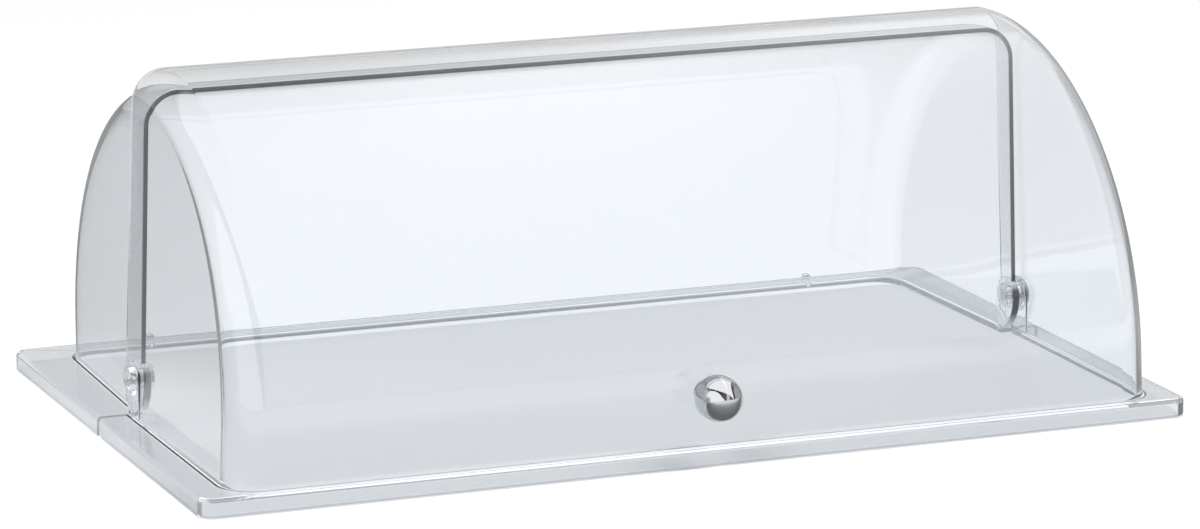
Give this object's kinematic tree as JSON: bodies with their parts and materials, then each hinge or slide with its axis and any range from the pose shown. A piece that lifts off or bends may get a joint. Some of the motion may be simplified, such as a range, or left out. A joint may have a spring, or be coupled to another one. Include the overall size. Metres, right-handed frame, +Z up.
{
  "type": "roll-top bread display cover",
  "caption": "Clear roll-top bread display bin: a curved lid rolls up over a fixed rear hood on side hinge pins, above a flat base board.",
  "frame": {"origin": "centre of the rectangular footprint, on the surface the bin stands on", "axes": "+X along the length and the hinge axis, +Y from the lid to the rear hood, +Z up"},
  "size_m": [0.53, 0.3451, 0.1867],
  "materials": {
    "clear_cover": "polished clear polycarbonate, 2.5 mm wall",
    "clear_cap": "moulded clear plastic",
    "clear_stop": "moulded clear plastic, slightly soft",
    "clear_gasket": "translucent washer stock",
    "board_plastic": "satin pale grey with a fine grain",
    "polished_chrome": "mirror polished",
    "bright_steel": "bright machined stainless steel"
  },
  "bodies": {
    "cover_base": {"rear_hood": "clear_cover", "base_board": "board_plastic", "hinge_pin_left": "bright_steel", "hinge_cap_left": "clear_cap", "hinge_washer_left": "clear_cap", "hinge_retainer_left": "clear_cap", "hinge_pin_right": "bright_steel", "hinge_cap_right": "clear_cap", "hinge_washer_right": "clear_cap", "hinge_retainer_right": "clear_cap", "stop_stud_left": "clear_stop", "stop_stud_right": "clear_stop"},
    "lid": {"front_lid": "clear_cover", "knob": "polished_chrome", "knob_gasket": "clear_gasket", "knob_washer": "clear_gasket", "knob_screw": "bright_steel"}
  },
  "joints": [
    {"name": "lid_roll", "type": "hinge", "parent": "cover_base", "child": "lid", "pos_m": [0, 0, 0.031], "axis": [-1, 0, 0], "range_deg": [0, 90.5]}
  ]
}
